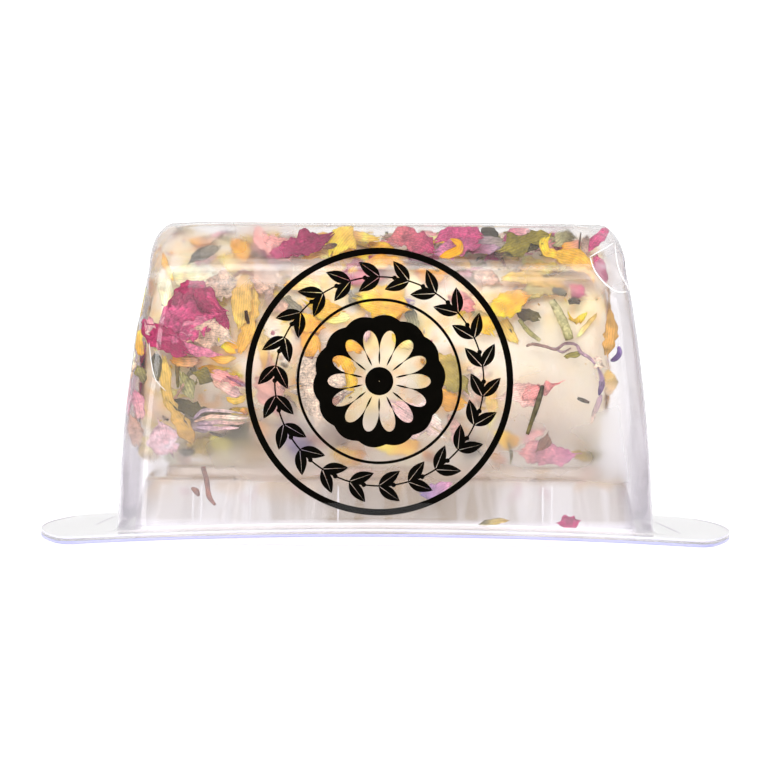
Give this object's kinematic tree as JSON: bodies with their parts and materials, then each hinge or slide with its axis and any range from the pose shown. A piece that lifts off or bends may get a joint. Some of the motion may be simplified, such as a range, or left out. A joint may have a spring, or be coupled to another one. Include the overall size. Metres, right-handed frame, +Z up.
{
  "type": "goat cheese log",
  "caption": "Fresh goat cheese log coated with dried petals and herbs, lying on the fluted pedestal of a clear tray under a clear tapered cover with rounded end tabs.",
  "frame": {"origin": "middle of the footprint, on the ground under the two tabs", "axes": "+X along the pack from its left tab to its right one as seen from the front, +Y from the front to the back, +Z up"},
  "size_m": [0.126, 0.063, 0.0571],
  "materials": {
    "clear_film": "clear thermoformed film, glossy",
    "clear_tray": "clear thermoformed sheet, slightly hazy",
    "fresh_cheese": "moist fine-grained fresh cheese",
    "rose_petal": "thin dried plant tissue, wrinkled",
    "pink_petal": "thin dried plant tissue, wrinkled",
    "straw_petal": "thin dried plant tissue, wrinkled",
    "marigold_petal": "thin dried plant tissue, wrinkled",
    "cornflower_petal": "thin dried plant tissue, wrinkled",
    "dried_herb": "thin dried plant tissue, wrinkled"
  },
  "bodies": {
    "root": {"base": "clear_tray", "cornflower_back": "cornflower_petal", "cornflower_left": "cornflower_petal", "cover": "clear_film", "dried_flower_left": "straw_petal", "dried_flower_middle": "straw_petal", "fallen_cornflower": "cornflower_petal", "fallen_leaf": "dried_herb", "fallen_rose": "rose_petal", "fallen_twig": "dried_herb", "herb_leaf_back": "dried_herb", "herb_leaf_top": "dried_herb", "herb_stem_right": "dried_herb", "log": "fresh_cheese", "marigold_petal_back_left": "marigold_petal", "marigold_petal_back_right": "marigold_petal", "marigold_petal_centre": "marigold_petal", "marigold_petal_end_lower": "marigold_petal", "marigold_petal_end_upper": "marigold_petal", "marigold_petal_left": "marigold_petal", "marigold_petal_middle": "marigold_petal", "marigold_petal_right": "marigold_petal", "marigold_petal_top": "marigold_petal", "marigold_petal_top_right": "marigold_petal", "marigold_petal_upper": "marigold_petal", "pink_petal_back": "pink_petal", "pink_petal_end": "pink_petal", "pink_petal_left": "pink_petal", "pink_petal_low": "pink_petal", "pink_petal_low_right": "pink_petal", "pink_petal_right": "pink_petal", "rose_petal_back_left": "rose_petal", "rose_petal_back_right": "rose_petal", "rose_petal_corner": "rose_petal", "rose_petal_end": "rose_petal", "rose_petal_front": "rose_petal", "rose_petal_top_left": "rose_petal", "rose_petal_top_middle": "rose_petal", "rose_petal_top_right": "rose_petal"}
  },
  "joints": []
}
